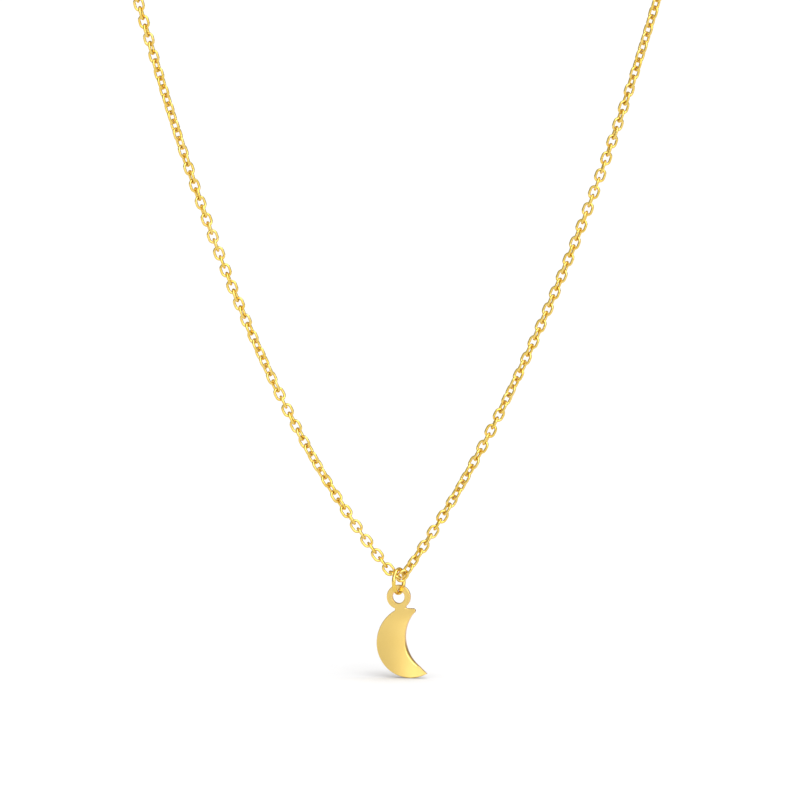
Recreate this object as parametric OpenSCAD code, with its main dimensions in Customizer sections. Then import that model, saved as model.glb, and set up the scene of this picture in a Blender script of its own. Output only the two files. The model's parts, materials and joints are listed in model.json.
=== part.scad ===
// Pendant necklace: a fine cable chain that hangs in a V over a round neck form,
// a jump ring in the point of the V, a flat crescent moon charm and a lobster clasp.
// The origin is the centre of the neck form, +Z is up and the moon faces -Y.

/* [Chain] */
// Chain length taken up by each link
link_pitch = 1.125; // [1.1:0.005:1.14]
// Width of a link over its wires
link_w = 1.42; // [1.4:0.01:1.46]
// Diameter of the chain wire
wire_d = 0.35; // [0.32:0.01:0.36]
// Play between two hooked links
link_play = 0.03; // [0.02:0.005:0.04]

/* [Hang] */
// Tension at a level point of the hanging curve, as the length of chain that weighs as much
level_chain = 35.4; // [32:0.1:39]
// Length of chain that weighs half as much as the charm and its jump ring
charm_chain = 46.6; // [42:0.1:50]
// Slope of the right-hand link at the point of the V, in degrees
point_deg = 46.5; // [46:0.5:50]
// Greatest bow of both strands to the left of their hanging curves
bow = 0.47; // [0:0.01:0.5]

/* [Jump ring] */
// Outer diameter of the jump ring
ring_od = 3.5; // [3.45:0.01:3.55]
// Diameter of its wire
ring_wire = 0.5; // [0.46:0.01:0.52]
// Turn of its front towards the left strand, in degrees
ring_turn = 25; // [24:1:28]
// Depth of its centre below the hook of the two lowest links
ring_drop = 0.4; // [0.39:0.005:0.41]

/* [Moon charm] */
// Thickness of the charm's sheet
moon_t = 0.7; // [0.5:0.05:0.75]
// Turn of its face towards the left strand, in degrees
moon_turn = 14; // [8:1:16]
// Radius of the eye
eye_r = 1.52; // [1.48:0.01:1.55]
// Radius of the hole in the eye
hole_r = 0.79; // [0.75:0.01:0.8]
// Radius of the upper half of the outer edge
back_upper_r = 4.88; // [4.84:0.01:4.92]
// Radius of the lower half of the outer edge
back_lower_r = 4.3; // [4.27:0.01:4.33]
// Radius of the hollow inner edge
hollow_r = 4.68; // [4.66:0.01:4.7]

/* [Clasp] */
// Thickness of the clasp
clasp_t = 1.6; // [1.5:0.1:1.8]
// Outer diameter of the ring between chain and clasp
clasp_ring_od = 3; // [2.9:0.05:3.1]
// Outer diameter of the ring that the clasp closes on
end_ring_od = 4; // [3.9:0.05:4.1]
// Wire diameter of both rings
end_wire = 0.5; // [0.45:0.01:0.55]

/* [Hidden] */

gold = "#e6bf5e";
steel = "#b9bcc0";

LEFT = -1;
RIGHT = 1;
// Each side hangs in 10 strand nodes, numbered down from the neck form, and lies on the form
// in 3 neck nodes, numbered upwards
strands = 10;
strand_links = 11;
hang_links = strands * strand_links;
necks = 3;
neck_node_links = 21;
neck_links = necks * neck_node_links;

// One link
link_l = link_pitch + link_play + 2 * wire_d;
link_straight = link_l - link_w;
bend_r = (link_w - wire_d) / 2;
// From the point where two links bear to the middle of either wire
bear = (wire_d + link_play) / 2;

// The two lowest links hook into each other, and both strands start level above them
left_deg = asin((link_pitch - bear) / (link_pitch + bear) * sin(point_deg));
left_reach = (link_pitch + bear) * cos(left_deg);
right_reach = (link_pitch - bear) * cos(point_deg);
half_start = (left_reach + right_reach) / 2;
hook_x = left_reach - half_start;
hook_drop = (link_pitch + bear) * sin(left_deg);

// Hanging curve above the start, at chain length s, as [outwards, up]
function asinh(v) = ln(v + sqrt(v * v + 1));
function curve(s) = [level_chain * asinh(s / level_chain), sqrt(level_chain ^ 2 + s ^ 2)];
function hang(s) = curve(charm_chain + s) - curve(charm_chain);

// The strand meets the neck form where it has the form's own slope
hang_s = (hang_links - 1) * link_pitch;
leave_deg = atan((charm_chain + hang_s) / level_chain);
neck_r = (half_start + hang(hang_s).x) / sin(leave_deg);
start_z = -neck_r * cos(leave_deg) - hang(hang_s).y;
hook_z = start_z - hook_drop;
step_deg = 2 * asin(link_pitch / 2 / neck_r);

// Point where links k and k + 1 of a strand bear, as [x, z]; link 1 is in the point of the V
function hooked(side) = side == LEFT
    ? [hook_x - bear * cos(left_deg), hook_z + bear * sin(left_deg)]
    : [hook_x - bear * cos(point_deg), hook_z - bear * sin(point_deg)];
// Bow at right angles to a strand, nil at both of its ends and full a quarter of the way up
function bow_at(t) = bow * 256 / 27 * t * (1 - t) ^ 3;
function hanging(side, k) =
    let (
        s = (k - 1) * link_pitch,
        way = hang(s),
        slope = atan((charm_chain + s) / level_chain),
        off = bow_at(s / hang_s)
    )
    [side * (half_start + way.x) - off * sin(slope), start_z + way.y + side * off * cos(slope)];
function neck_deg(k) = leave_deg - 90 + (k - hang_links) * step_deg;
function lying(side, k) = neck_r * [side * cos(neck_deg(k)), sin(neck_deg(k))];
function bearing(side, k) =
    k == 0 ? hooked(side) : k <= hang_links ? hanging(side, k) : lying(side, k);

// Slow twist of each strand, in degrees at some link numbers
left_twist = [
    [1, -5], [2, 0], [8, 2], [10, 18], [12, 29], [14, 36], [16, 42], [18, 55], [20, 70], [22, 80],
    [24, 94], [26, 118], [28, 130], [30, 142], [34, 160], [37, 168], [42, 184], [48, 200], [52, 205],
    [54, 217], [57, 228], [61, 232], [63, 236], [66, 250], [70, 258], [165, 330], [173, 345]
];
right_twist = [
    [1, 20], [2, 38], [3, 38], [4, 24], [6, 9], [8, 2], [10, 21], [12, 35], [14, 46], [16, 58],
    [18, 70], [20, 84], [22, 104], [24, 127], [26, 141], [29, 152], [31, 155], [44, 158], [46, 168],
    [50, 176], [54, 190], [57, 198], [60, 202], [62, 210], [64, 218], [66, 224], [70, 228],
    [165, 270], [173, 285]
];
function roll(side, k) = side == LEFT
    ? 90 * (k % 2) + lookup(k, left_twist)
    : 90 * ((k + 1) % 2) + lookup(k, right_twist);

// Jump ring in the point of the V, and the charm's hole under its lower limb
ring_r = (ring_od - ring_wire) / 2;
ring_x = hook_x - 0.2;
ring_z = hook_z - ring_drop;
seam_deg = 3;
ring_foot_z = ring_z - ring_r;
hole_play = 0.08;
hole_z = ring_foot_z + ring_wire / 2 + hole_play - hole_r;

// Outline of the charm about the middle of its hole, as [right, up]
back_left = -2.83;
back_mid = -5.88;
hollow_at = [5.56, -4.99];
horn_top = -1.41;
horn_x = 2.16;
horn_round = 0.32;
neck_box = [[-0.45, -1.72], [0.95, -1.0]];
tip_line = [[2.77, -8.75], [3.62, -9.57]];

// Clasp about the middle of its eye hole, as [along, across]; it lies level between its rings
clasp_eye_r = 1.2;
clasp_hole_r = 0.65;
clasp_eye_t = 0.7;
clasp_bevel = 0.35;
ring_play = 0.13;
top = bearing(RIGHT, hang_links + neck_links);
clasp_z = top.y;
function ring_run(od) = od - 2 * (end_wire + ring_play);
clasp_ring_run = ring_run(clasp_ring_od);
end_ring_run = ring_run(end_ring_od);
eye_x = clasp_ring_run - top.x + clasp_hole_r;
claw_end = top.x - end_ring_run - eye_x;
claw_r = 2.5;
claw_wall = 0.75;
claw_x = claw_end + claw_wall - claw_r;
claw_bend_r = 1.6;
claw_half = 1.25;
cheek_r = 1.7;
cheek_half = 1.9;
pivot = [2.3, 0.85];
mouth_x = 3.65;
mouth_end = claw_x + 0.2;
slot_t = 0.9;
pin_r = 0.34;
pin_play = 0.02;
gate_t = 0.82;
gate_hub_r = 0.75;
gate_arm = [
    [pivot.x, 1.55], [mouth_x - 0.15, 2.2], [claw_x - 0.03, 2.2], [claw_x - 0.03, 1.5],
    [claw_x + 0.62, 1.4], [claw_x + 0.57, 0.95], [mouth_x - 0.25, 0.85], [pivot.x, 0.1]
];
thumb = [3.75, 2.45];
thumb_r = 0.4;
thumb_t = 1.3;
coil_wire = 0.16;
coil_r = 0.52;
coil_z = [0.13, 0.26];

// Facets of large and small circles
smooth = 48;
wire_smooth = 24;

// One chain link, long along X and wide along Z
module link() {
    for (end = [-1, 1]) {
        translate([end * link_straight / 2, 0, 0])
            rotate([90, 0, 0])
            rotate([0, 0, -90 * end])
            rotate_extrude(angle = 180, $fn = smooth)
            translate([bend_r, 0])
            circle(d = wire_d, $fn = wire_smooth);
        translate([0, 0, end * bend_r])
            rotate([0, 90, 0])
            cylinder(d = wire_d, h = link_straight, center = true, $fn = wire_smooth);
    }
}

// Links first to last of one strand, each between its two bearing points
module chain(side, first, last) {
    for (k = [first:last]) {
        from = bearing(side, k - 1);
        to = bearing(side, k);
        middle = (from + to) / 2;
        slope = atan2(to.y - from.y, to.x - from.x);
        color(gold)
            translate([middle.x, 0, middle.y])
            rotate([0, -slope, 0])
            rotate([roll(side, k), 0, 0])
            link();
    }
}

module strand(side, n) {
    last = hang_links - (n - 1) * strand_links;
    chain(side, last - strand_links + 1, last);
}

module neck(side, n) {
    first = hang_links + (n - 1) * neck_node_links + 1;
    chain(side, first, first + neck_node_links - 1);
}

// A ring of round wire about Z, cut through at its seam on +X
module cut_ring(r, wire) {
    rotate([0, 0, seam_deg / 2])
        rotate_extrude(angle = 360 - seam_deg, $fn = smooth)
        translate([r, 0])
        circle(d = wire, $fn = wire_smooth);
}

// The seam is at the back, above the middle
module jump_ring() {
    color(gold)
        translate([ring_x, 0, ring_z])
        rotate([0, 0, 90 - ring_turn])
        rotate([90, 0, 0])
        rotate([0, 0, 30])
        cut_ring(ring_r, ring_wire);
}

module half_disc(r, side) {
    intersection() {
        translate([back_left + r, back_mid])
            circle(r = r, $fn = 2 * smooth);
        translate([back_left - r, side > 0 ? back_mid : back_mid - 2 * r])
            square([4 * r, 2 * r]);
    }
}

module crescent() {
    difference() {
        union() {
            half_disc(back_upper_r, 1);
            half_disc(back_lower_r, -1);
        }
        translate(hollow_at)
            circle(r = hollow_r, $fn = 2 * smooth);
        translate([-5, horn_top])
            square([12, 6]);
        // The lower tip runs out straight
        polygon([tip_line[0], tip_line[1], tip_line[1] + [4, 0], tip_line[0] + [4, 0]]);
        // Corner of the upper horn, rounded below
        translate([horn_x - horn_round, horn_top - horn_round])
            square([3, 3]);
    }
    translate([horn_x - horn_round, horn_top - horn_round])
        circle(r = horn_round, $fn = smooth);
}

module moon_charm() {
    color(gold)
        translate([ring_x, 0, hole_z])
        rotate([0, 0, -moon_turn])
        rotate([90, 0, 0])
        linear_extrude(moon_t, center = true)
        difference() {
            union() {
                crescent();
                circle(r = eye_r, $fn = 2 * smooth);
                translate(neck_box[0])
                    square(neck_box[1] - neck_box[0]);
            }
            circle(r = hole_r, $fn = smooth);
        }
}

// An upright ring of the end wire, level with the clasp
module end_wire_ring(x, od, seam_at) {
    color(gold)
        translate([x, 0, clasp_z])
        rotate([90, 0, 0])
        rotate([0, 0, seam_at])
        cut_ring((od - end_wire) / 2, end_wire);
}

module clasp_ring() {
    end_wire_ring(clasp_ring_run / 2 - top.x, clasp_ring_od, 70);
}

module end_ring() {
    end_wire_ring(top.x - end_ring_run / 2, end_ring_od, 110);
}

module at_clasp() {
    color(gold)
        translate([eye_x, 0, clasp_z])
        children();
}

module flat(t) {
    linear_extrude(t, center = true)
        children();
}

module pivot_cylinder(r, h) {
    translate([pivot.x, pivot.y, 0])
        cylinder(r = r, h = h, center = true, $fn = wire_smooth);
}

module eye_outline() {
    circle(r = clasp_eye_r, $fn = smooth);
    translate([0, -clasp_eye_r / 2])
        square([pivot.x, clasp_eye_r]);
}

module claw_outline() {
    difference() {
        union() {
            translate([pivot.x, 0])
                circle(r = cheek_r, $fn = smooth);
            translate([pivot.x, -cheek_half])
                square([claw_x - pivot.x, 2 * cheek_half]);
            translate([claw_x, 0])
                circle(r = claw_r, $fn = 2 * smooth);
        }
        translate([claw_end - claw_bend_r, 0])
            circle(r = claw_bend_r, $fn = smooth);
        translate([mouth_x, -claw_half])
            square([claw_end - claw_bend_r - mouth_x, 2 * claw_half]);
        translate([mouth_x, 0])
            square([mouth_end - mouth_x, claw_r + 1]);
    }
}

module clasp_body() {
    at_clasp()
        difference() {
            union() {
                flat(clasp_eye_t)
                    eye_outline();
                flat(clasp_t)
                    claw_outline();
            }
            cylinder(r = clasp_hole_r, h = clasp_t, center = true, $fn = smooth);
            // Bevelled inner edges where the end ring bears
            for (face = [0, 180])
                rotate([face, 0, 0])
                translate([claw_end - claw_bend_r, 0, clasp_t / 2 - clasp_bevel])
                cylinder(r1 = claw_bend_r, r2 = claw_bend_r + clasp_bevel, h = clasp_bevel, $fn = smooth);
            // Slot for the gate and its spring
            translate([pivot.x - 1, pivot.y - 1, -slot_t / 2])
                cube([3, 3, slot_t]);
            pivot_cylinder(pin_r + pin_play / 2, 2 * clasp_t);
        }
}

module clasp_pin() {
    at_clasp()
        pivot_cylinder(pin_r, clasp_t);
}

// The gate turns on the pin, and its tip bears on the inside of the claw's end
module clasp_gate() {
    at_clasp()
        difference() {
            union() {
                flat(gate_t) {
                    polygon(gate_arm);
                    translate(pivot)
                        circle(r = gate_hub_r, $fn = smooth);
                }
                flat(thumb_t)
                    translate(thumb)
                    circle(r = thumb_r, $fn = smooth);
            }
            pivot_cylinder(pin_r + pin_play, 2 * clasp_t);
            // Recess for the spring
            translate([pivot.x, pivot.y, 0])
                cylinder(r = gate_hub_r + 0.05, h = clasp_t, $fn = smooth);
        }
}

// Two turns of wire round the pin, behind the gate's hub
module clasp_spring() {
    color(steel)
        translate([eye_x, 0, clasp_z])
        translate([pivot.x, pivot.y, 0])
        rotate_extrude($fn = smooth)
        for (z = coil_z)
            translate([coil_r, z])
            circle(d = coil_wire, $fn = wire_smooth);
}

function two(n) = str(n < 10 ? "0" : "", n);

moon_charm();
jump_ring();
for (n = [1:strands]) {
    strand(LEFT, n);
    strand(RIGHT, n);
}
for (n = [1:necks]) {
    neck(LEFT, n);
    neck(RIGHT, n);
}
clasp_ring();
clasp_body();
clasp_gate();
clasp_pin();
clasp_spring();
end_ring();
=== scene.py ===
"""Looks of the pendant necklace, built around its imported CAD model.

Every link, ring, the charm and the clasp are rebuilt smooth in the place of their CAD nodes,
in polished gold plate, and hang just above a plain white floor in soft studio light.
Shapes are worked out in millimetres and stored in metres, and colours are linear RGB.
"""

import json
import math
import random

import bpy
import numpy as np
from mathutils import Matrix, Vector
from mathutils.geometry import delaunay_2d_cdt


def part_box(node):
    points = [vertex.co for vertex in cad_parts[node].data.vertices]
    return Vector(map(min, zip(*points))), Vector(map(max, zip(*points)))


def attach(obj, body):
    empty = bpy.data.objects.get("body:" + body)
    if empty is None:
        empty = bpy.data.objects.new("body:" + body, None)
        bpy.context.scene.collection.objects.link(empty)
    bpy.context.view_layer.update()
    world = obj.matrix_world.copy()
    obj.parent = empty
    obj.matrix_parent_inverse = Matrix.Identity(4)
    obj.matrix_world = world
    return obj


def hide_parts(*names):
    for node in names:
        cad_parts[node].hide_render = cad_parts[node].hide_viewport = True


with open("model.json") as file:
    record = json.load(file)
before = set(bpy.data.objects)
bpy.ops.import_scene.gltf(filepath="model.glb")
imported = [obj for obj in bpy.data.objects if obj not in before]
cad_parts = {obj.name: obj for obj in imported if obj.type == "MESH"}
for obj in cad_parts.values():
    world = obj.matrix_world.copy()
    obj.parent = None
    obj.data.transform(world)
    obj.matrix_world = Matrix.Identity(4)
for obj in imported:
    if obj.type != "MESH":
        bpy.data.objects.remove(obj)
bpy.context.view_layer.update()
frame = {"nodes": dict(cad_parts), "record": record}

MM = 0.001
NODES = frame["nodes"]
BODY = {
    node: body
    for body, members in frame["record"]["behaviour"]["bodies"].items()
    for node in members
}
scene = bpy.context.scene
rng = random.Random(7)


# ---------------------------------------------------------------- materials

# Lowest and highest values that a noise texture mostly gives
NOISE_LOW = 0.3
NOISE_HIGH = 0.7
# Depth of the finest marks in the metal
MARK_DEPTH = 0.004
# Cosines of a surface's turn from the face of a sheet: less than the first is all cut edge,
# more than the second is all face
ALL_EDGE = 0.35
ALL_FACE = 0.8


def wire_nodes(tree, *pairs):
    """Links (node, output name, node, input name) tuples."""
    for out_node, out_name, in_node, in_name in pairs:
        tree.links.new(out_node.outputs[out_name], in_node.inputs[in_name])


def metal(name, colours, roughness, spread, grain, relief, drift_scale=0.45, lacquer=0.0):
    """Polished metal. Its colour drifts between the first two colours and takes the third
    where it turns away. The roughness varies by the spread, and fine marks lie in the surface,
    with grain as how close they are along X, Y and Z. Clear lacquer can cover it."""
    light, deep, rim = colours
    material = bpy.data.materials.new(name)
    material.use_nodes = True
    tree = material.node_tree
    shader = tree.nodes["Principled BSDF"]
    shader.inputs["Metallic"].default_value = 1.0
    shader.inputs["Specular Tint"].default_value = (*rim, 1)
    shader.inputs["Coat Weight"].default_value = lacquer
    shader.inputs["Coat IOR"].default_value = 1.8
    shader.inputs["Coat Roughness"].default_value = 0.2

    coords = tree.nodes.new("ShaderNodeTexCoord")
    millimetres = tree.nodes.new("ShaderNodeMapping")
    millimetres.inputs["Scale"].default_value = (1000, 1000, 1000)

    drift = tree.nodes.new("ShaderNodeTexNoise")
    drift.inputs["Scale"].default_value = drift_scale
    drift.inputs["Detail"].default_value = 3.0
    tint = tree.nodes.new("ShaderNodeValToRGB")
    tint.color_ramp.elements[0].position = 0.36
    tint.color_ramp.elements[0].color = (*deep, 1)
    tint.color_ramp.elements[1].position = 0.64
    tint.color_ramp.elements[1].color = (*light, 1)

    marks_map = tree.nodes.new("ShaderNodeMapping")
    marks_map.inputs["Scale"].default_value = grain
    marks = tree.nodes.new("ShaderNodeTexNoise")
    marks.inputs["Scale"].default_value = 1.0
    marks.inputs["Detail"].default_value = 5.0
    marks.inputs["Roughness"].default_value = 0.62
    polish = tree.nodes.new("ShaderNodeMapRange")
    polish.inputs["From Min"].default_value = NOISE_LOW
    polish.inputs["From Max"].default_value = NOISE_HIGH
    polish.inputs["To Min"].default_value = roughness - spread
    polish.inputs["To Max"].default_value = roughness + spread
    bump = tree.nodes.new("ShaderNodeBump")
    bump.inputs["Strength"].default_value = relief
    bump.inputs["Distance"].default_value = MARK_DEPTH * MM

    wire_nodes(
        tree,
        (coords, "Object", millimetres, "Vector"),
        (millimetres, "Vector", drift, "Vector"),
        (drift, "Fac", tint, "Fac"),
        (tint, "Color", shader, "Base Color"),
        (millimetres, "Vector", marks_map, "Vector"),
        (marks_map, "Vector", marks, "Vector"),
        (marks, "Fac", polish, "Value"),
        (polish, "Result", shader, "Roughness"),
        (marks, "Fac", bump, "Height"),
        (bump, "Normal", shader, "Normal"),
    )
    return material


def rough_edge_with_painted_shade(material, face_normal, colour, roughness):
    """Gives the cut edge of a sheet a rougher finish of its own and a darker, deeper gold that is
    painted shade, wherever it turns from the face.
    """
    tree = material.node_tree
    shader = tree.nodes["Principled BSDF"]
    coords = tree.nodes.new("ShaderNodeTexCoord")
    facing = tree.nodes.new("ShaderNodeVectorMath")
    facing.operation = "DOT_PRODUCT"
    facing.inputs[1].default_value = face_normal
    both_faces = tree.nodes.new("ShaderNodeMath")
    both_faces.operation = "ABSOLUTE"
    on_face = tree.nodes.new("ShaderNodeMapRange")
    on_face.inputs["From Min"].default_value = ALL_EDGE
    on_face.inputs["From Max"].default_value = ALL_FACE
    wire_nodes(
        tree,
        (coords, "Normal", facing, 0),
        (facing, "Value", both_faces, 0),
        (both_faces, "Value", on_face, "Value"),
    )
    # Over the edge, the colour is painted shade and the roughness is a rougher finish
    # Numbers of a Mix node's A, B and result sockets for colours and for plain values
    for kind, edge, socket, (a, b, result) in (
        ("RGBA", (*colour, 1), "Base Color", (6, 7, 2)),
        ("FLOAT", roughness, "Roughness", (2, 3, 0)),
    ):
        mix = tree.nodes.new("ShaderNodeMix")
        mix.data_type = kind
        mix.inputs[a].default_value = edge
        face = shader.inputs[socket].links[0].from_socket
        tree.links.new(on_face.outputs["Result"], mix.inputs["Factor"])
        tree.links.new(face, mix.inputs[b])
        tree.links.new(mix.outputs[result], shader.inputs[socket])


# Each metal's light and deep colours, and its colour where it turns away
RIM_GOLD = (0.83, 0.49, 0.04)
WIRE_GOLD = ((0.825, 0.605, 0.15), (0.8, 0.555, 0.08), RIM_GOLD)
FACE_GOLD = ((0.845, 0.59, 0.13), (0.83, 0.565, 0.11), RIM_GOLD)
STEEL = ((0.62, 0.62, 0.61), (0.5, 0.5, 0.5), (1, 1, 1))
# The charm's cut edge: a rougher finish, and a darker, deeper gold that is painted shade
EDGE_PAINTED_SHADE_GOLD = (0.72, 0.42, 0.05)
CUT_ROUGHNESS = 0.34

MATERIALS = {
    "chain_gold": metal("chain_gold", WIRE_GOLD, 0.2, 0.05, (7, 7, 7), 0.35, lacquer=0.4),
    "ring_gold": metal("ring_gold", WIRE_GOLD, 0.17, 0.05, (5, 5, 9), 0.3, lacquer=0.4),
    "charm_gold": metal("charm_gold", FACE_GOLD, 0.25, 0.02, (22, 22, 2.2), 0.03, 0.2, 1.0),
    "clasp_gold": metal("clasp_gold", WIRE_GOLD, 0.22, 0.05, (4, 4, 4), 0.4),
    "spring_steel": metal("spring_steel", STEEL, 0.26, 0.06, (9, 9, 40), 0.3),
}


# ---------------------------------------------------------------- mesh helpers

# Steps to a millimetre that tell two points apart
WELD_STEPS = 2e4


def node_mesh(node):
    """Points in millimetres and triangles of a CAD node, with coincident points merged."""
    mesh = NODES[node].data
    mesh.calc_loop_triangles()
    points = np.empty(len(mesh.vertices) * 3)
    mesh.vertices.foreach_get("co", points)
    points = points.reshape(-1, 3) / MM
    triangles = np.empty(len(mesh.loop_triangles) * 3, int)
    mesh.loop_triangles.foreach_get("vertices", triangles)
    keys = np.round(points * WELD_STEPS).astype(np.int64)
    _, first, merged = np.unique(keys, axis=0, return_index=True, return_inverse=True)
    return points[first], merged.ravel()[triangles].reshape(-1, 3)


def islands(points, triangles):
    """The points of each connected piece."""
    label = np.arange(len(points))
    while True:
        lowest = label[triangles].min(axis=1)
        spread = label.copy()
        np.minimum.at(spread, triangles.ravel(), np.repeat(lowest, 3))
        spread = spread[spread]
        if (spread == label).all():
            return [points[label == k] for k in np.unique(label)]
        label = spread


def own_axes(points):
    """Middle, axes (longest, middle, shortest extent) and extents of a piece of wire."""
    mean = points.mean(axis=0)
    _, axes = np.linalg.eigh(np.cov((points - mean).T))
    span = [((points - mean) @ axes[:, i]) for i in range(3)]
    size = np.array([s.max() - s.min() for s in span])
    middle = mean + sum(axes[:, i] * (s.max() + s.min()) / 2 for i, s in enumerate(span))
    order = np.argsort(-size)
    return middle, axes[:, order].T, size[order]


def new_piece(name, node, points, faces, smooth=True):
    """A mesh object, given in millimetres, that stands for a CAD node and rides on its body."""
    mesh = bpy.data.meshes.new(name)
    mesh.from_pydata((np.asarray(points) * MM).tolist(), [], faces)
    mesh.update()
    return finish_piece(name, node, mesh, smooth)


def finish_piece(name, node, mesh, smooth=True):
    """Makes a mesh the visible piece that stands for a CAD node, in the node's material."""
    if smooth:
        mesh.polygons.foreach_set("use_smooth", [True] * len(mesh.polygons))
    piece = bpy.data.objects.new(name, mesh)
    scene.collection.objects.link(piece)
    slot = next(
        s["material_slot"] for s in frame["record"]["subparts"] if s["node"] == node
    )
    mesh.materials.clear()
    mesh.materials.append(MATERIALS[slot])
    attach(piece, BODY[node])
    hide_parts(node)
    return piece


def tube(path, normals, binormals, radii, sides, closed):
    """Points and faces of a round tube along a path, one radius for each point of it."""
    turn = np.arange(sides) * 2 * math.pi / sides
    rim = np.cos(turn)[None, :, None] * normals[:, None, :]
    rim = rim + np.sin(turn)[None, :, None] * binormals[:, None, :]
    points = (path[:, None, :] + radii[:, None, None] * rim).reshape(-1, 3)
    rings = len(path)
    faces = []
    for i in range(rings if closed else rings - 1):
        a, b = i * sides, (i + 1) % rings * sides
        for j in range(sides):
            k = (j + 1) % sides
            faces.append((a + j, b + j, b + k, a + k))
    return points, faces


def end_caps(rings, sides):
    """Faces that close both ends of an open tube."""
    last = (rings - 1) * sides
    return [tuple(range(sides))[::-1], tuple(range(last, last + sides))]


# ---------------------------------------------------------------- chain

LINK_SIDES = 18
BEND_STEPS = 14
# Places along a link's soldered side, in millimetres from its seam, and the wire's swell there
SEAM_HALF = [(0.03, 1.03), (0.085, 1.022), (0.15, 1.0)]
SEAM = [(-x, swell) for x, swell in SEAM_HALF[::-1]] + [(0.0, 0.955)] + SEAM_HALF
# Share of the CAD wire's thickness that a link's wire has, least and most
LINK_THINNING = (0.965, 0.98)


def link_path(long, wide, thick):
    """Centre line of one link in its own plane, as (along, across), with its outward
    directions and the swell of the wire, starting at the seam's side."""
    bend = (wide - thick) / 2
    half = (long - wide) / 2
    rows = [(x, bend, 0, 1, swell) for x, swell in SEAM]
    for side in (1, -1):
        for i in range(BEND_STEPS + 1):
            a = math.pi * (0.5 - i / BEND_STEPS) + (0 if side == 1 else math.pi)
            c, s = math.cos(a), math.sin(a)
            rows.append((side * half + bend * c, bend * s, c, s, 1.0))
        if side == 1:
            rows += [(x, -bend, 0, -1, 1.0) for x in (half / 3, -half / 3)]
    return np.array(rows)


def build_chain(node):
    """All links of a chain node as one piece."""
    points, faces = [], []
    for part in islands(*node_mesh(node)):
        middle, axes, (long, wide, thick) = own_axes(part)
        along = axes[0] * (1 if axes[0][2] > 0 else -1)
        across = axes[1] * rng.choice((-1, 1))
        rows = link_path(long, wide, thick)
        path = middle + rows[:, :1] * along + rows[:, 1:2] * across
        outward = rows[:, 2:3] * along + rows[:, 3:4] * across
        flat = np.repeat(np.cross(along, across)[None], len(rows), axis=0)
        radii = rows[:, 4] * thick / 2 * rng.uniform(*LINK_THINNING)
        ring_points, ring_faces = tube(path, outward, flat, radii, LINK_SIDES, True)
        base = sum(len(p) for p in points)
        faces += [tuple(base + i for i in face) for face in ring_faces]
        points.append(ring_points)
    return new_piece(node + "_links", node, np.concatenate(points), faces)


for node in sorted(NODES):
    if "strand" in node or "neck" in node:
        build_chain(node)


# ---------------------------------------------------------------- rings

RING_STEPS = 112
RING_SIDES = 26
# Shares of the CAD wire's radius at a cut end, just behind it and along the ring
END_R = 0.86
BEHIND_END_R = 0.965
RING_THINNING = 0.985
# Length over which the edge of a cut end is broken
END_LENGTH = 0.035
# Steps round the ring that find its cut
SEAM_STEPS = 3600


def seam_of(points, triangles, middle, u, v):
    """Direction and half width, in radians, of the cut in a ring of wire."""
    step = 2 * math.pi / SEAM_STEPS
    angle = np.arctan2((points - middle) @ v, (points - middle) @ u)
    covered = np.zeros(SEAM_STEPS, bool)
    for corners in angle[triangles]:
        low, high = corners.min(), corners.max()
        if high - low > math.pi:
            wrapped = np.where(corners < 0, corners + 2 * math.pi, corners)
            low, high = wrapped.min(), wrapped.max()
        first, last = np.array([low, high]) / step
        covered[np.arange(round(first), round(last) + 1) % SEAM_STEPS] = True
    bare = np.flatnonzero(~covered) * step
    spread = np.angle(np.exp(1j * bare) / np.exp(1j * bare[0]))
    return bare[0] + (spread.min() + spread.max()) / 2, (spread.max() - spread.min()) / 2


def build_ring(node):
    """A cut ring of round wire, with the edges of its two ends broken."""
    points, triangles = node_mesh(node)
    middle, axes, size = own_axes(points)
    u, v, normal = axes
    wire_r = size[2] / 2
    middle_r = size[0] / 2 - wire_r
    seam, gap = seam_of(points, triangles, middle, u, v)
    end = END_LENGTH / middle_r
    at = [gap, gap + end / 3, gap + end]
    at += list(np.linspace(gap + end, 2 * math.pi - gap - end, RING_STEPS)[1:-1])
    at += [2 * math.pi - gap - end, 2 * math.pi - gap - end / 3, 2 * math.pi - gap]
    turn = np.array(at) + seam
    radii = np.full(len(turn), wire_r * RING_THINNING)
    radii[[0, -1]] *= END_R
    radii[[1, -2]] *= BEHIND_END_R
    outward = np.cos(turn)[:, None] * u + np.sin(turn)[:, None] * v
    flat = np.repeat(normal[None], len(turn), axis=0)
    ring_points, faces = tube(
        middle + middle_r * outward, outward, flat, radii, RING_SIDES, False
    )
    faces += end_caps(len(turn), RING_SIDES)
    piece = new_piece(node + "_wire", node, ring_points, faces)
    for face in piece.data.polygons[-2:]:
        face.use_smooth = False
    return piece


for node in ("jump_ring", "clasp_ring", "end_ring"):
    build_ring(node)


# ---------------------------------------------------------------- charm

# Radius of the rounded edges and the steps round them
EDGE_ROUND = 0.08
EDGE_STEPS = 4
# Spacing of the points that fill the faces, and how exactly a point lies on a face
FACE_GRID = 0.3
FACE_EXACT = 0.001
# Radii, across and along, of the gentle crown on both faces of the charm
CROWN = (42.0, 150.0)
# Buffing makes the faces shine as if they were rounder across and a little hollow along:
# radii, and the level spot from the middle of the charm
SHINE = (9.0, -140.0)
SHINE_LEVEL = (-1.5, 2.0)
# The eye is left flat: heights between which the crown fades out, and the side that it faces like
EYE_FADE = (1.2, 2.8)
EYE_SIDE = -3.2
# The lower half of the hollow edge is rolled over more: heights it lies between, and how much
ROLL_SPAN = (-5.3, -0.6)
ROLL = 3.2


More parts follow.
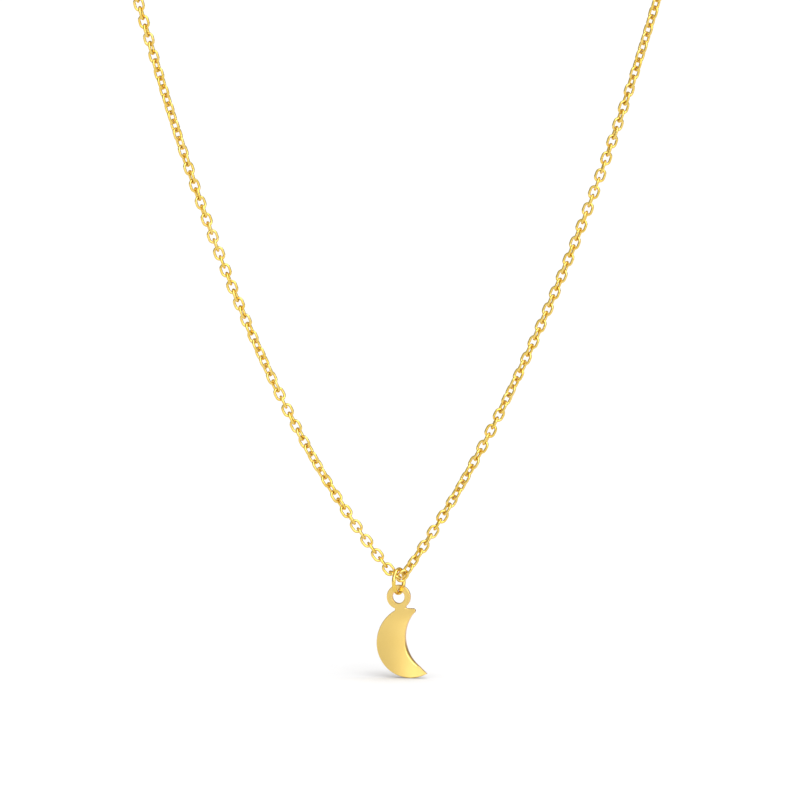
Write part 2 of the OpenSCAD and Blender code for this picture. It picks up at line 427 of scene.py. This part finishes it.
def face_loops(points, triangles, normal, height):
    """The closed outlines, as ordered point numbers, of the flat face at one height."""
    on_face = points @ normal > height - FACE_EXACT
    edges = {}
    for triangle in triangles[on_face[triangles].all(axis=1)]:
        for i, j in ((0, 1), (1, 2), (2, 0)):
            edges[triangle[i]] = edges.get(triangle[i], []) + [triangle[j]]
    inner = {(j, i) for i, ends in edges.items() for j in ends}
    follow = {i: j for i, ends in edges.items() for j in ends if (i, j) not in inner}
    loops = []
    while follow:
        start = at = next(iter(follow))
        loop = []
        while at in follow:
            loop.append(at)
            at = follow.pop(at)
        assert at == start
        loops.append(loop)
    return loops


def inset(loop, depth):
    """A closed outline moved to its left by depth, with mitred corners."""
    step = np.roll(loop, -1, axis=0) - loop
    step /= np.linalg.norm(step, axis=1)[:, None]
    left = np.stack([-step[:, 1], step[:, 0]], axis=1)
    both = left + np.roll(left, 1, axis=0)
    both /= np.linalg.norm(both, axis=1)[:, None]
    square = (both * left).sum(axis=1)
    return loop + both * (depth / np.maximum(square, 0.5))[:, None]


def inside(spots, loop):
    """Which spots lie within a closed outline."""
    a, b = loop, np.roll(loop, -1, axis=0)
    x, y = spots[:, :1], spots[:, 1:]
    straddle = (a[:, 1] > y) != (b[:, 1] > y)
    with np.errstate(divide="ignore", invalid="ignore"):
        cross = a[:, 0] + (y - a[:, 1]) * (b[:, 0] - a[:, 0]) / (b[:, 1] - a[:, 1])
    return (straddle & (x < cross)).sum(axis=1) % 2 == 1


def build_charm(node):
    """The charm with its edges rounded and both faces slightly crowned, inside its CAD solid."""
    points, triangles = node_mesh(node)
    centre, axes, _ = own_axes(points)
    normal = axes[2] * (-1 if axes[2][1] > 0 else 1)
    up = np.array([0.0, 0.0, 1.0])
    across = np.cross(up, normal)
    local = points - centre
    half = (local @ normal).max()
    loops = []
    for loop in face_loops(local, triangles, normal, half):
        loops.append(np.stack([local[loop] @ across, local[loop] @ up], axis=1))
    loops.sort(key=lambda loop: -np.ptp(loop[:, 1]))

    def rolled(loop):
        """How much wider the rounding is along an outline than elsewhere."""
        outward = loop - inset(loop, 1.0)
        low, high = ROLL_SPAN
        share = np.clip((loop[:, 1] - low) / (high - low), 0, 1)
        hollow = np.clip(4 * np.minimum(outward[:, 0], outward[:, 1]), 0, 1)
        return 1 + ROLL * hollow * np.sin(math.pi * share)

    # Outlines of the rounded edge, from the face's rim down to the side wall
    section = []
    for i in range(EDGE_STEPS + 1):
        a = math.pi / 2 * i / EDGE_STEPS
        section.append((EDGE_ROUND * (1 - math.sin(a)), EDGE_ROUND * (1 - math.cos(a))))
    rims = [[inset(loop, depth * rolled(loop)) for loop in loops] for depth, _ in section]

    outline = rims[0]
    corners = zip(outline[0].min(axis=0), outline[0].max(axis=0))
    span = [np.arange(low + FACE_GRID / 2, high, FACE_GRID) for low, high in corners]
    grid = np.stack(np.meshgrid(*span), axis=2).reshape(-1, 2)
    grid[:, 0] += (np.arange(len(grid)) // len(span[0]) % 2 - 0.5) * FACE_GRID / 2
    keep = inside(grid, inset(outline[0], FACE_GRID / 2))
    for hole in outline[1:]:
        keep &= ~inside(grid, inset(hole, FACE_GRID / 2))
    grid = grid[keep]
    flat = np.concatenate(outline + [grid])
    borders, base = [], 0
    for loop in outline:
        borders += [(base + i, base + (i + 1) % len(loop)) for i in range(len(loop))]
        base += len(loop)
    fill = delaunay_2d_cdt([Vector(p) for p in flat], borders, [], 1, 1e-6)
    spots = np.array([p[:] for p in fill[0]])
    tiles = np.array([face[:] for face in fill[2]])
    middles = spots[tiles].mean(axis=1)
    for hole in outline[1:]:
        outside = ~inside(middles, hole)
        tiles, middles = tiles[outside], middles[outside]
    sources = {source: i for i, given in enumerate(fill[3]) for source in given}

    def crowned(flat_points, height):
        sag = (flat_points**2 / (2 * np.array(CROWN))).sum(axis=1)
        lift = height * (1 - np.minimum(sag, 0.5 * half) / half)
        return centre + flat_points @ np.stack([across, up]) + lift[:, None] * normal

    def shining(flat_points, face_side):
        eye = np.interp(flat_points[:, 1], EYE_FADE, (0, 1))
        seen = flat_points.copy()
        seen[:, 0] += eye * (EYE_SIDE - seen[:, 0])
        tilt = (seen - SHINE_LEVEL) / SHINE @ np.stack([across, up])
        return tilt + face_side * normal

    verts = [crowned(spots, half), crowned(spots, -half)]
    normals = [shining(spots, 1), shining(spots, -1)]
    count = len(spots)
    faces = [tuple(tile) for tile in tiles] + [tuple(tile[::-1] + count) for tile in tiles]
    base = 2 * count
    rim_start = 0
    for n, loop in enumerate(loops):
        size = len(loop)
        rows = [[sources[rim_start + i] for i in range(size)]]
        for face_side, steps in ((1, range(1, EDGE_STEPS + 1)), (-1, range(EDGE_STEPS, 0, -1))):
            for i in steps:
                verts.append(crowned(rims[i][n], face_side * (half - section[i][1])))
                share = i / EDGE_STEPS * math.pi / 2
                outward = (inset(loop, -1.0) - loop) @ np.stack([across, up])
                outward /= np.linalg.norm(outward, axis=1)[:, None]
                normals.append(
                    math.cos(share) * shining(loop, face_side) + math.sin(share) * outward
                )
                rows.append(list(range(base, base + size)))
                base += size
        rows.append([sources[rim_start + i] + count for i in range(size)])
        for upper, lower in zip(rows, rows[1:]):
            for i in range(size):
                k = (i + 1) % size
                faces.append((upper[i], lower[i], lower[k], upper[k]))
        rim_start += size
    piece = new_piece(node + "_plate", node, np.concatenate(verts), faces)
    # The charm's cut edge gets painted shade: a darker, deeper gold where the surface turns from
    # the face
    rough_edge_with_painted_shade(MATERIALS["charm_gold"], normal, EDGE_PAINTED_SHADE_GOLD, CUT_ROUGHNESS)
    normals = np.concatenate(normals)
    normals /= np.linalg.norm(normals, axis=1)[:, None]
    piece.data.normals_split_custom_set_from_vertices(normals.tolist())
    return piece


build_charm("moon_charm")


# ---------------------------------------------------------------- clasp

# The pin's domed head: places out from its middle as shares of its radius, and their drop
DOME = [(0.0, 0.0), (0.35, 0.005), (0.65, 0.025), (0.88, 0.06), (1.0, 0.11)]
# Radius that each head ends in
DOME_TIP = 0.001
RIVET_SIDES = 32
COIL_WIRE_R = 0.08
COIL_TURNS = 1.9
COIL_STEPS = 96
COIL_SIDES = 12


def build_cast(node, name, voxel, rounds):
    """A cast piece: its CAD shape rebuilt in even cells and smoothed in rounds, which softens
    every edge."""
    points, triangles = node_mesh(node)
    mesh = bpy.data.meshes.new(name)
    mesh.from_pydata(points.tolist(), [], triangles.tolist())
    block = bpy.data.objects.new(name + "_block", mesh)
    scene.collection.objects.link(block)
    remesh = block.modifiers.new("even", "REMESH")
    remesh.mode = "VOXEL"
    remesh.voxel_size = voxel
    soften = block.modifiers.new("soften", "SMOOTH")
    soften.factor = 0.5
    soften.iterations = rounds
    depsgraph = bpy.context.evaluated_depsgraph_get()
    soft = bpy.data.meshes.new_from_object(block.evaluated_get(depsgraph))
    bpy.data.objects.remove(block)
    soft.name = name
    coords = np.empty(len(soft.vertices) * 3)
    soft.vertices.foreach_get("co", coords)
    soft.vertices.foreach_set("co", coords * MM)
    soft.update()
    return finish_piece(name, node, soft)


def build_rivet(node):
    """The gate's pin, with a low domed head at both ends."""
    points, _ = node_mesh(node)
    low, high = points.min(axis=0), points.max(axis=0)
    middle = (low + high) / 2
    r = (high[0] - low[0]) / 2
    half = (high[2] - low[2]) / 2
    head = [(share * r, half - drop) for share, drop in DOME]
    tail = [(radius, -z) for radius, z in head[::-1]]
    profile = np.array(head + tail)
    profile[[0, -1], 0] = DOME_TIP
    path = np.stack([np.zeros(len(profile)), np.zeros(len(profile)), profile[:, 1]], axis=1)
    u = np.repeat([[1.0, 0, 0]], len(profile), axis=0)
    v = np.repeat([[0, -1.0, 0]], len(profile), axis=0)
    pin_points, faces = tube(middle + path, u, v, profile[:, 0], RIVET_SIDES, False)
    faces += end_caps(len(profile), RIVET_SIDES)
    return new_piece(node + "_rivet", node, pin_points, faces)


def build_spring(node):
    """The gate's spring as a real coil, inside the room that its CAD solid takes."""
    points, _ = node_mesh(node)
    low, high = points.min(axis=0), points.max(axis=0)
    middle = (low + high) / 2
    r = (high[0] - low[0]) / 2 - COIL_WIRE_R
    rise = high[2] - low[2] - 2 * COIL_WIRE_R
    turn = np.linspace(0, COIL_TURNS * 2 * math.pi, COIL_STEPS)
    outward = np.stack([np.cos(turn), np.sin(turn), np.zeros(COIL_STEPS)], axis=1)
    path = middle + r * outward
    path[:, 2] += (turn / turn[-1] - 0.5) * rise
    down = np.repeat([[0, 0, -1.0]], COIL_STEPS, axis=0)
    radii = np.full(COIL_STEPS, COIL_WIRE_R)
    coil_points, faces = tube(path, outward, down, radii, COIL_SIDES, False)
    faces += end_caps(COIL_STEPS, COIL_SIDES)
    return new_piece(node + "_coil", node, coil_points, faces)


build_cast("clasp_body", "clasp_body_cast", 0.05, 9)
build_cast("clasp_gate", "clasp_gate_cast", 0.04, 7)
build_rivet("clasp_pin")
build_spring("clasp_spring")


# ---------------------------------------------------------------- floor, light and camera

# Strength of the light tent, and its two glows: direction, falloff and strength
TENT = 0.5
FRONT_GLOW = ((0.34, -0.93, 0.14), 3.5, 1.2)
TOP_GLOW = ((0.0, 0.0, 1.0), 2.0, 0.5)
# The soft lights: strength, width in degrees and where each one is
SUNS = {"key": (1.35, 50, (0.2, -0.84, 0.5)), "overhead": (1.0, 40, (0.5, -0.15, 0.85))}
# Room under the charm, and half the floor's width
FLOOR_GAP = 0.02
FLOOR_HALF = 3000
# The floor's white and the tone of the contact shadow painted into it, how far that painted shadow
# reaches from a contact, and how open to the light the floor still is where it is darkest
FLOOR_WHITE = (0.9, 0.9, 0.905)
FLOOR_PAINTED_SHADOW = (0.39, 0.41, 0.45)
PAINTED_SHADOW_REACH = 9.0
PAINTED_SHADOW_OPEN = 0.3
# The camera: distance, width of its picture, angle it looks down by, and the point that it
# looks at, from X = 0 and from the charm's foot
CAMERA_DISTANCE = 1200
PICTURE_WIDTH = 100
CAMERA_DOWN = 5
CAMERA_AIM = (0.19, 34.91)
SENSOR = 36


def build_floor(height):
    """A plain white floor, wide enough to fill the picture, with a contact shadow painted into its
    colour wherever something stands close above it.
    """
    half = FLOOR_HALF * MM
    mesh = bpy.data.meshes.new("floor")
    corners = [(-half, -half), (half, -half), (half, half), (-half, half)]
    mesh.from_pydata([(x, y, height) for x, y in corners], [], [(0, 1, 2, 3)])
    floor = bpy.data.objects.new("floor", mesh)
    scene.collection.objects.link(floor)
    paint = bpy.data.materials.new("white_floor")
    paint.use_nodes = True
    tree = paint.node_tree
    shader = tree.nodes["Principled BSDF"]
    # Painted contact shadow: ambient occlusion darkens the floor's colour close under the charm
    occlusion = tree.nodes.new("ShaderNodeAmbientOcclusion")
    occlusion.samples = 12
    occlusion.inputs["Distance"].default_value = PAINTED_SHADOW_REACH * MM
    painted_shadow = tree.nodes.new("ShaderNodeValToRGB")
    painted_shadow.color_ramp.elements[0].position = PAINTED_SHADOW_OPEN
    painted_shadow.color_ramp.elements[0].color = (*FLOOR_PAINTED_SHADOW, 1)
    painted_shadow.color_ramp.elements[1].color = (*FLOOR_WHITE, 1)
    wire_nodes(tree, (occlusion, "AO", painted_shadow, "Fac"), (painted_shadow, "Color", shader, "Base Color"))
    shader.inputs["Roughness"].default_value = 0.9
    shader.inputs["Specular IOR Level"].default_value = 0.1
    mesh.materials.append(paint)


def build_world():
    """A white light tent, dim low down at the back and sides, with a wide glow in front
    and another overhead."""
    world = bpy.data.worlds.new("tent")
    scene.world = world
    world.use_nodes = True
    tree = world.node_tree
    tree.nodes.clear()
    coords = tree.nodes.new("ShaderNodeTexCoord")
    light = tree.nodes.new("ShaderNodeBackground")
    output = tree.nodes.new("ShaderNodeOutputWorld")
    level = None
    for direction, power, strength in (FRONT_GLOW, TOP_GLOW):
        towards = tree.nodes.new("ShaderNodeVectorMath")
        towards.operation = "DOT_PRODUCT"
        towards.inputs[1].default_value = Vector(direction).normalized()
        facing = tree.nodes.new("ShaderNodeMath")
        facing.operation = "MAXIMUM"
        facing.inputs[1].default_value = 0.0
        falloff = tree.nodes.new("ShaderNodeMath")
        falloff.operation = "POWER"
        falloff.inputs[1].default_value = power
        glow = tree.nodes.new("ShaderNodeMath")
        glow.operation = "MULTIPLY_ADD"
        glow.inputs[1].default_value = strength
        glow.inputs[2].default_value = TENT
        wire_nodes(
            tree,
            (coords, "Generated", towards, 0),
            (towards, "Value", facing, 0),
            (facing, "Value", falloff, 0),
            (falloff, "Value", glow, 0),
        )
        if level:
            wire_nodes(tree, (level, "Value", glow, 2))
        level = glow
    wire_nodes(tree, (level, "Value", light, "Strength"), (light, "Background", output, "Surface"))


def build_suns():
    """Large soft lights: the key, in front, and a weaker one overhead, to the right."""
    for name, (strength, width, place) in SUNS.items():
        light = bpy.data.lights.new(name, "SUN")
        light.energy = strength
        light.angle = math.radians(width)
        sun = bpy.data.objects.new(name, light)
        scene.collection.objects.link(sun)
        sun.rotation_mode = "QUATERNION"
        sun.rotation_quaternion = Vector(place).to_track_quat("Z", "Y")


def build_camera(foot):
    """A long lens that looks slightly down, with the strands running out at the top."""
    distance = CAMERA_DISTANCE * MM
    elevation = math.radians(CAMERA_DOWN)
    aim = Vector((CAMERA_AIM[0] * MM, 0, foot + CAMERA_AIM[1] * MM))
    back = Vector((0, -math.cos(elevation), math.sin(elevation)))
    data = bpy.data.cameras.new("camera")
    data.sensor_width = SENSOR
    data.lens = SENSOR * CAMERA_DISTANCE / PICTURE_WIDTH
    data.clip_start = 0.01
    data.clip_end = 20
    camera = bpy.data.objects.new("camera", data)
    scene.collection.objects.link(camera)
    camera.rotation_mode = "QUATERNION"
    camera.location = aim + back * distance
    camera.rotation_quaternion = (-back).to_track_quat("-Z", "Y")
    scene.camera = camera


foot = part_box("moon_charm")[0].z
build_floor(foot - FLOOR_GAP * MM)
build_world()
build_suns()
build_camera(foot)
scene.view_settings.view_transform = "Standard"
